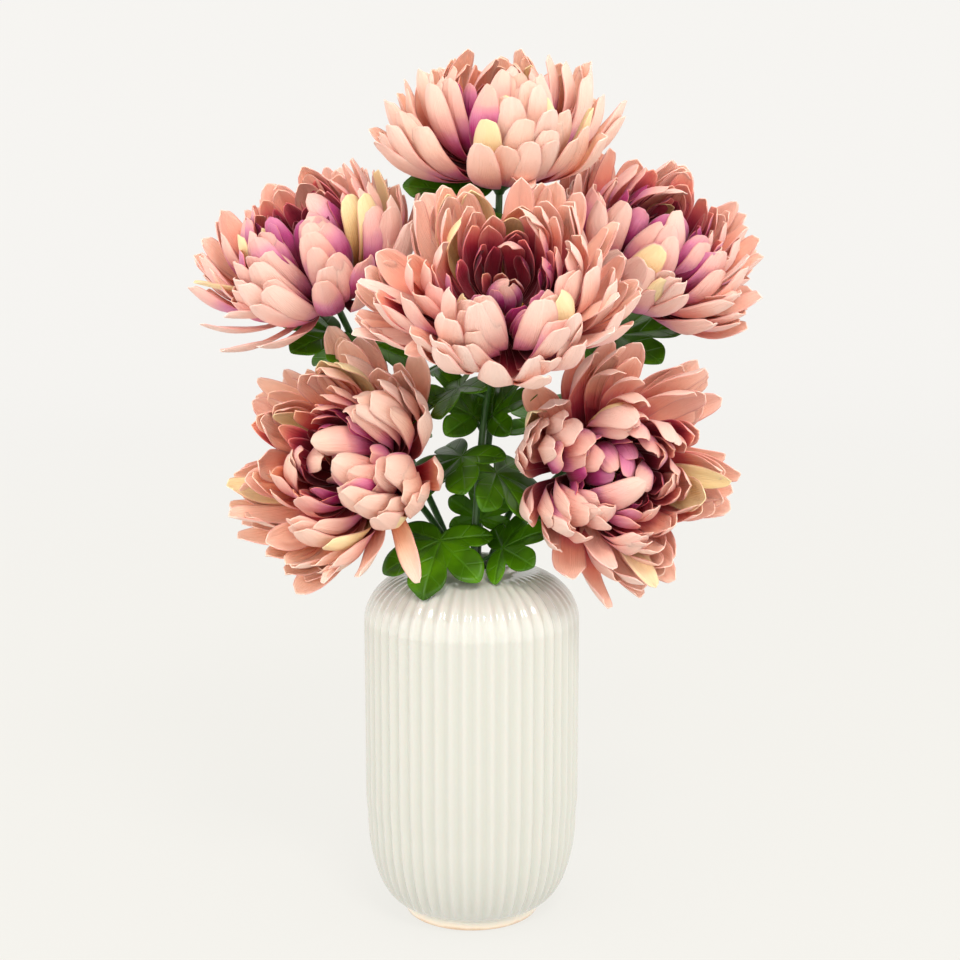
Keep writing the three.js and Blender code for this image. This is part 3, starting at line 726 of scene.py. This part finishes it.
def add_rows(bm, flower, draw):
    """The discs of petals, gathered in a few bunches as a flower is that was packed and opened by hand."""
    heart_heading, heart_angle = flower["heart"]
    lean_heading, lean_angle = flower["lean"]
    for number, (place, count, half, fold) in enumerate(CLOTH_ROWS):
        row = between_rows(place)
        inner = smooth(place, *INNER_ROWS)
        gathered = flower["gathered"] * (1 - 0.5 * inner)
        curling = CURLING_ROWS[0] < place < CURLING_ROWS[1]
        first = draw.uniform(0, 2 * math.pi)
        petals = []
        for i in range(count):
            heading = first + 2 * math.pi * (i + draw.uniform(-0.3, 0.3)) / count
            offset, aside, shut = bunch_of(flower, heading)
            petals.append((heading - gathered * offset, aside, shut))
        headings = [petal[0] for petal in petals]
        cream = nearest_petals(flower["cream"], number, headings)
        magenta = nearest_petals(flower["magenta"], number, headings)
        for i, (heading, aside, shut) in enumerate(petals):
            drift = noise.noise(Vector((2 * math.cos(heading), 2 * math.sin(heading), flower["seed"])))
            near = math.cos(heading - math.radians(heart_heading))
            opened = heart_angle * max(0.0, near) * inner
            shut += lean_angle * math.cos(heading - math.radians(lean_heading)) * (1 - inner) - opened
            if curling and draw.random() < flower["curled"]:
                shut += draw.uniform(*CURL)
            pointed = draw.random() < POINTED_SHARE
            length = row["length"] * draw.uniform(0.9, 1.07) * (1 - HEART_SHORTENING * opened)
            blush = draw.uniform(0, 0.45) + INNER_BLUSH * place ** 2
            bunch_roll = BUNCH_ROLL * aside * (1 - 0.4 * inner)
            add_petal(bm, {
                "root": row["root"], "heading": heading,
                "from": row["from"] + draw.uniform(-4, 4) + DRIFT[0] * drift + SHUT_AT_CLAW * shut,
                "to": row["to"] + fold + draw.uniform(-11, 9) + DRIFT[1] * drift + shut,
                "length": length, "dyed": length, "half": half * draw.uniform(0.84, 1.08),
                "roll": math.radians(draw.uniform(-13, 13) + bunch_roll),
                **(POINTED_BLADE if pointed else BLUNT_BLADE),
                "cup": draw.uniform(0.35, 0.65), "hood": draw.uniform(0.15, 0.9),
                "crease": draw.uniform(-0.5, 1.1) if draw.random() < CREASED_SHARE else 0.0,
                "sway": draw.uniform(-0.05, 0.05) + BUNCH_BEND * aside,
                "ruffle": draw.uniform(0.1, 1.2), "fray": 0.5, "phase": draw.uniform(*PHASES),
                "tone": flower["warmth"] * draw.uniform(0.4, 1),
                "blush": 1.0 if i in magenta else flower["blush"] * blush,
                "cream": 1.0 if i in cream else 0.0,
            })


def add_middle(bm, flower, draw):
    """Short petals on the core, some bent right across the stamens."""
    for i in range(MIDDLE_COUNT):
        across = i % MIDDLE_ACROSS == 0
        length = draw.uniform(20, 30)
        add_petal(bm, {
            "root": MIDDLE_ROOT, "heading": i * GOLDEN_TURN + draw.uniform(-0.2, 0.2),
            "from": draw.uniform(62, 80),
            "to": draw.uniform(140, 180) if across else draw.uniform(84, 116),
            "length": length, "dyed": draw.uniform(40, 60), "half": draw.uniform(4.2, 5.8),
            "roll": math.radians(draw.uniform(-35, 35)),
            **MIDDLE_BLADE,
            "cup": draw.uniform(0.3, 0.6), "hood": draw.uniform(0.1, 0.5), "crease": 0.3,
            "sway": draw.uniform(-0.15, 0.15), "ruffle": 0.4, "fray": 0.4,
            "phase": draw.uniform(*PHASES), "tone": flower["warmth"],
            "blush": draw.uniform(0, 0.5) * flower["blush"], "cream": 0.0,
        })


def add_loose(bm, flower, draw):
    """Petals that have been pulled out of their row."""
    for heading, start, end, length, half, cream in flower["loose"]:
        add_petal(bm, {
            "root": LOOSE_ROOT, "heading": math.radians(heading), "from": start, "to": end,
            "length": length, "dyed": LOOSE_DYE * length, "half": half,
            "roll": math.radians(draw.uniform(*LOOSE_ROLL)),
            **LOOSE_BLADE,
            "cup": 0.4, "hood": 0.2, "crease": 0.3, "sway": 0.0,
            "ruffle": 0.8, "fray": 0.6, "phase": draw.uniform(*PHASES),
            "tone": flower["warmth"] * draw.random(), "blush": 0.0, "cream": cream,
        })


def build_bloom(flower, satin):
    """All the cloth petals of one head."""
    name, draw = flower["name"], random.Random(flower["seed"])
    bm = bmesh.new()
    bm.loops.layers.uv.new("cut")
    bm.verts.layers.float_color.new("dye")
    add_rows(bm, flower, draw)
    add_middle(bm, flower, draw)
    add_loose(bm, flower, draw)
    bmesh.ops.transform(bm, matrix=head_place(flower), verts=bm.verts)
    make_piece("petals_" + name, bm, satin, "bloom_" + name, PETAL_THICKNESS)


def build_florets(flower, plastic):
    """The core that the petals stand out of, and the brush of stamens on it."""
    name, draw = flower["name"], random.Random(flower["seed"] + 5)
    bm = bmesh.new()
    dye = bm.verts.layers.float_color.new("dye")
    core_height = RECEPTACLE_HEIGHT + CORE_RISE
    core = bmesh.ops.create_cone(
        bm, cap_ends=True, segments=CORE_SIDES, radius1=RECEPTACLE_RADIUS, radius2=CORE_TOP_RADIUS,
        depth=core_height, matrix=Matrix.Translation((0, 0, core_height / 2)),
    )["verts"]
    for vertex in core:
        vertex[dye] = (0, 0, 0, 1)
    for i in range(STAMEN_COUNT):
        radius = STAMEN_DISC * math.sqrt((i + 0.5) / STAMEN_COUNT)
        angle = i * GOLDEN_TURN
        lean = Vector((math.cos(angle), math.sin(angle), 0)) * (STAMEN_SPLAY * radius) + UP
        lean += Vector((draw.uniform(*STAMEN_TILT), draw.uniform(*STAMEN_TILT), 0))
        tall = draw.uniform(*STAMEN_HEIGHT) - STAMEN_FALL * radius
        foot = Vector((radius * math.cos(angle), radius * math.sin(angle), RECEPTACLE_HEIGHT + 1))
        place = Matrix.Translation(foot) @ UP.rotation_difference(lean).to_matrix().to_4x4()
        stamen = bmesh.ops.create_cone(
            bm, cap_ends=True, segments=STAMEN_SIDES, radius1=STAMEN_RADII[0],
            radius2=STAMEN_RADII[1], depth=tall, matrix=place @ Matrix.Translation((0, 0, tall / 2)),
        )["verts"]
        for vertex in stamen:
            at_tip = (vertex.co - foot).length > tall / 2
            tone = STAMEN_TONES[1] if at_tip else STAMEN_TONES[0]
            vertex[dye] = (tone, tone, tone, 1)
    bmesh.ops.transform(bm, matrix=head_place(flower), verts=bm.verts)
    make_piece("florets_" + name, bm, [plastic], "stamens_" + name)


# ---- stems and leaves
def through(points, per_span=40):
    """Points close together on the centripetal curve through a few points."""
    ends = [2 * points[0] - points[1], *points, 2 * points[-1] - points[-2]]
    made = []
    for a, b, c, d in zip(ends, ends[1:], ends[2:], ends[3:]):
        first, second, third = (b - a).length ** 0.5, (c - b).length ** 0.5, (d - c).length ** 0.5
        leave = ((b - a) / first - (c - a) / (first + second) + (c - b) / second) * second
        arrive = ((c - b) / second - (d - b) / (second + third) + (d - c) / third) * second
        made += [curve_between(b, c, leave, arrive, i / per_span) for i in range(per_span)]
    return made + [points[-1].copy()]


def evenly(points, steps):
    """The same line as points that are equally far apart along it."""
    marks = [0.0]
    for a, b in zip(points, points[1:]):
        marks.append(marks[-1] + (b - a).length)
    made, at = [], 0
    for i in range(steps + 1):
        wanted = marks[-1] * i / steps
        while at < len(points) - 2 and marks[at + 1] < wanted:
            at += 1
        span = marks[at + 1] - marks[at]
        made.append(points[at].lerp(points[at + 1], (wanted - marks[at]) / span))
    return made


def stem_line(flower):
    """A stem's middle line, from the jar's floor through the mouth to the calyx."""
    base, facing = Vector(flower["base"]), Vector(flower["faces"]).normalized()
    foot_place = flower["neck"] + STEM_FOOT_TWIST
    foot = on_circle(STEM_FOOT_RADIUS, foot_place, JAR_FLOOR + STEM_FOOT_RISE)
    neck = on_circle(NECK_RADIUS, flower["neck"], JAR_HEIGHT - NECK_SPAN)
    above = on_circle(NECK_RADIUS + NECK_SPREAD, flower["neck"], JAR_HEIGHT + NECK_SPAN)
    end = base - facing * (CALYX_HEIGHT - CALYX_LAP)
    return through([foot, foot.lerp(neck, 0.5), neck, above, Vector(flower["bend"]), end])


def add_tube(bm, points, radii, sides):
    """A closed round rod through the points, extruded ring by ring."""
    ring = bmesh.ops.create_circle(bm, cap_ends=True, segments=sides, radius=1.0)["verts"]
    facing = (points[1] - points[0]).normalized()
    turn = UP.rotation_difference(facing)
    place = Matrix.Translation(points[0]) @ turn.to_matrix().to_4x4() @ Matrix.Scale(radii[0], 4)
    bmesh.ops.transform(bm, matrix=place, verts=ring)
    edges = list({edge for vertex in ring for edge in vertex.link_edges})
    for i in range(1, len(points)):
        grown = bmesh.ops.extrude_edge_only(bm, edges=edges)["geom"]
        ring = [part for part in grown if isinstance(part, bmesh.types.BMVert)]
        edges = [part for part in grown if isinstance(part, bmesh.types.BMEdge)]
        ahead = (points[min(i + 1, len(points) - 1)] - points[i - 1]).normalized()
        turn = facing.rotation_difference(ahead)
        facing = ahead
        place = (
            Matrix.Translation(points[i]) @ turn.to_matrix().to_4x4()
            @ Matrix.Scale(radii[i] / radii[i - 1], 4) @ Matrix.Translation(-points[i - 1])
        )
        bmesh.ops.transform(bm, matrix=place, verts=ring)
    bmesh.ops.contextual_create(bm, geom=edges)


def leaf_frame(line, leaf):
    """Where a leaf's veins meet, and its directions: forward, left and up."""
    share, azimuth, rise, stalk, _, _, roll = leaf
    step = int(share * STEM_STEPS)
    start = line[step].lerp(line[step + 1], share * STEM_STEPS - step)
    level, climb = math.radians(azimuth), math.radians(rise)
    forward = Vector((
        math.cos(climb) * math.cos(level), math.cos(climb) * math.sin(level), math.sin(climb),
    ))
    left = Quaternion(forward, math.radians(roll)) @ Vector((-math.sin(level), math.cos(level), 0))
    palm = start + forward * (stalk + STEM_RADIUS - STALK_LAP)
    return start, palm, Matrix((forward, left, forward.cross(left))).transposed()


def leaf_reach(degrees):
    """The outline's share of the middle lobe's length at an angle from the middle vein."""
    away = abs(degrees)
    for i in range(len(LEAF_HALF) - 1):
        (a, ra), (b, rb) = LEAF_HALF[i], LEAF_HALF[i + 1]
        if away <= b:
            t = (away - a) / (b - a)
            before = LEAF_HALF[i - 1] if i else (-b, rb)
            after = LEAF_HALF[i + 2] if i + 2 < len(LEAF_HALF) else (2 * b - a, ra)
            leave = (rb - before[1]) / (b - before[0]) * (b - a)
            arrive = (after[1] - ra) / (after[0] - a) * (b - a)
            return curve_between(ra, rb, leave, arrive, t)
    return LEAF_HALF[-1][1]


def add_leaf(bm, line, leaf, seed):
    """A lobed blade as one sheet, creased along each lobe's vein, with its lobes hanging."""
    blade = bm.loops.layers.uv["blade"]
    _, _, _, _, size, nod, _ = leaf
    _, palm, axes = leaf_frame(line, leaf)
    grid = bmesh.ops.create_grid(bm, x_segments=LEAF_SPOKES, y_segments=LEAF_RINGS, size=0.5)["verts"]
    faces = {face for vertex in grid for face in vertex.link_faces}
    low, high = min(v.co.x for v in grid), max(v.co.x for v in grid)
    tilt = Matrix.Rotation(math.radians(nod), 3, "Y")
    flat = {}
    for vertex in grid:
        degrees = 360 * (vertex.co.x - low) / (high - low) - 180
        share = (vertex.co.y - low) / (high - low)
        heading = min(LOBE_HEADINGS, key=lambda lobe: abs(lobe - degrees))
        reach = size * leaf_reach(degrees) * share ** RING_EASE
        away = math.radians(degrees - heading)
        aside, along = reach * math.sin(away), reach * math.cos(away)
        flat[vertex] = (aside / UV_UNIT, along / UV_UNIT)
        far = reach / size
        angle = math.radians(degrees)
        ripple = noise.noise(Vector((angle * RIPPLE_GRAIN[0], far * RIPPLE_GRAIN[1], seed)))
        lift = LOBE_FOLD * abs(aside) + LEAF_ARCH[0] * size * far - LEAF_ARCH[1] * size * far * far
        lift += RIPPLE_HEIGHT * far * ripple
        level = Vector((reach * math.cos(angle), reach * math.sin(angle), lift))
        vertex.co = palm + axes @ tilt @ level
    for face in faces:
        face.normal_update()
        for loop in face.loops:
            loop[blade].uv = flat[loop.vert]
    bmesh.ops.remove_doubles(bm, verts=grid, dist=0.02)


def build_foliage(flower, leaf_cloth, stem_plastic):
    """The leaves of one flower, and its stem with their stalks and the calyx."""
    name, solid = flower["name"], "leafy_stem_" + flower["name"]
    curve = stem_line(flower)
    line = evenly(curve, STEM_STEPS)
    bm = bmesh.new()
    bm.loops.layers.uv.new("blade")
    for number, leaf in enumerate(flower["leaves"]):
        add_leaf(bm, line, leaf, flower["seed"] + LEAF_SEED_STEP * number)
    make_piece("leaves_" + name, bm, [leaf_cloth], solid, LEAF_THICKNESS)

    bm = bmesh.new()
    fine = evenly(curve, STEM_FINE_STEPS)
    add_tube(bm, fine, [STEM_RADIUS] * len(fine), STEM_SIDES)
    steps = len(STALK_RADII) - 1
    for leaf in flower["leaves"]:
        start, palm, axes = leaf_frame(line, leaf)
        forward = axes.col[0]
        stalk = [start + forward * (palm - start).length * i / steps for i in range(steps + 1)]
        add_tube(bm, stalk, STALK_RADII, STALK_SIDES)
    place = head_place(flower)
    cup = [place @ Vector((0, 0, height)) for height, _ in CALYX_PROFILE]
    add_tube(bm, cup, [radius for _, radius in CALYX_PROFILE], CALYX_SIDES)
    bmesh.ops.recalc_face_normals(bm, faces=bm.faces)
    make_piece("stem_" + name, bm, [stem_plastic], solid)


# ---- the bunch
build_jar()
satin = [
    printed_satin("satin front", [
        (0.15, "#7A162C"), (0.24, "#AC344E"), (0.34, "#E27478"), (0.43, "#FFAC96"), (0.56, "#FFC8B4"),
        (0.88, "#FFD8CC"),
    ]),
    printed_satin("satin back", [
        (0.14, "#6E1238"), (0.27, "#A83A78"), (0.38, "#D286A6"), (0.47, "#E6AEA8"), (0.6, "#EABFB2"),
        (0.88, "#EACCC0"),
    ]),
]
stamen_plastic = flocked_plastic()
leaf_cloth = printed_leaf()
stem_plastic = moulded_stem()
for flower in FLOWERS:
    build_bloom(flower, satin)
    build_florets(flower, stamen_plastic)
    build_foliage(flower, leaf_cloth, stem_plastic)


# ---- studio
FLOOR_RADIUS = 2200
COVE_CURVE = 900
COVE_TOP = 2600
COVE_SIDES = 72
LIT_POINT = (0, 0, 0.3)  # in metres
AIR_STRENGTH = 1.1


def build_cove():
    """A pale round cove: floor and wall in one curve, so that no line shows behind the bunch."""
    material, tree = new_material("pale studio paper")
    # Painted light: the paper glows brighter to the sides and behind the camera, where it stands in for
    # the lit walls of the room.
    place = node(tree, "TexCoord").outputs["Object"]
    axes = node(tree, "SeparateXYZ", {"Vector": place})
    away = node(tree, "VectorMath", {0: place}, operation="LENGTH").outputs["Value"]
    bearing = node(tree, "Math", {0: axes.outputs["Y"], 1: away}, operation="DIVIDE")
    aside = node(tree, "MapRange", {
        "Value": bearing.outputs[0], "From Min": 0.84, "From Max": 0.4,
    }, interpolation_type="SMOOTHSTEP")
    distant = node(tree, "MapRange", {
        "Value": away, "From Min": 0.8, "From Max": 1.8,
    }, interpolation_type="SMOOTHSTEP")
    lit = node(tree, "Math", {0: aside.outputs[0], 1: distant.outputs[0]}, operation="MULTIPLY")
    # Painted shade: the paper's glow dims a little towards the bunch, as if its shadow fell on the floor
    # round it.
    painted_shade_fade = node(tree, "MapRange", {"Value": away, "From Min": 0.4, "From Max": 2.6})
    paper = node(tree, "ValToRGB", {0: painted_shade_fade.outputs[0]}, stops=[(0.0, "#B9B8B4"), (1.0, "#BCBBB9")])
    glow = node(tree, "Mix", {
        "Factor": lit.outputs[0], 6: paper.outputs["Color"], 7: linear("#FFFEFC"),
    }, data_type="RGBA")
    finish_material(
        tree, Base_Color=linear("#5E5D5B"), Roughness=0.9, Specular_IOR_Level=0.0,
        Emission_Color=glow.outputs[2], Emission_Strength=1.55,
    )
    bm = bmesh.new()
    outline = [(0, 0), (400, 0), (1400, 0), (FLOOR_RADIUS, 0)]
    outline += quarter((FLOOR_RADIUS, COVE_CURVE), (COVE_CURVE, COVE_CURVE), -90, 0, 12)
    outline += [(FLOOR_RADIUS + COVE_CURVE, COVE_TOP)]
    corners = [bm.verts.new((radius, 0, height)) for radius, height in outline]
    sides = [bm.edges.new(pair) for pair in zip(corners, corners[1:])]
    bmesh.ops.spin(
        bm, geom=corners + sides, cent=(0, 0, 0), axis=UP, angle=2 * math.pi, steps=COVE_SIDES,
        use_merge=True,
    )
    bmesh.ops.remove_doubles(bm, verts=bm.verts, dist=0.01)
    cove = new_object("studio_cove", bm, [material])


def add_softbox(name, azimuth, elevation, distance, width, height, power, colour):
    """A soft light aimed at the bunch. Azimuth is in degrees to the right of the front, sizes are in
    metres and power is in watts."""
    light = bpy.data.lights.new(name, "AREA")
    light.shape = "RECTANGLE"
    light.size, light.size_y = width, height
    light.energy = power
    light.color = linear(colour)[:3]
    made = bpy.data.objects.new(name, light)
    away = Vector((
        math.cos(math.radians(elevation)) * math.sin(math.radians(azimuth)),
        -math.cos(math.radians(elevation)) * math.cos(math.radians(azimuth)),
        math.sin(math.radians(elevation)),
    ))
    made.location = Vector(LIT_POINT) + away * distance
    made.rotation_euler = away.to_track_quat("Z", "Y").to_euler()
    bpy.context.scene.collection.objects.link(made)


build_cove()
add_softbox(
    "key softbox", azimuth=16, elevation=46, distance=1.6, width=0.5, height=0.36, power=10.5,
    colour="#FFFAF4",
)
add_softbox(
    "fill softbox", azimuth=-30, elevation=24, distance=2.2, width=1.4, height=1.2, power=4.5,
    colour="#FFFCF8",
)
world = bpy.data.worlds.new("studio air")
world.use_nodes = True
sky = world.node_tree.nodes["Background"]
sky.inputs["Color"].default_value = linear("#FBFAF6")
sky.inputs["Strength"].default_value = AIR_STRENGTH
bpy.context.scene.world = world
bpy.context.scene.view_settings.view_transform = "Standard"

camera = bpy.data.cameras.new("photo camera")
camera.lens = CAMERA_LENS
camera.sensor_width = SENSOR_WIDTH
viewer = bpy.data.objects.new("photo camera", camera)
viewer.location = CAMERA_PLACE
viewer.rotation_euler = (math.radians(90 - CAMERA_PITCH), 0, 0)
bpy.context.scene.collection.objects.link(viewer)
bpy.context.scene.camera = viewer
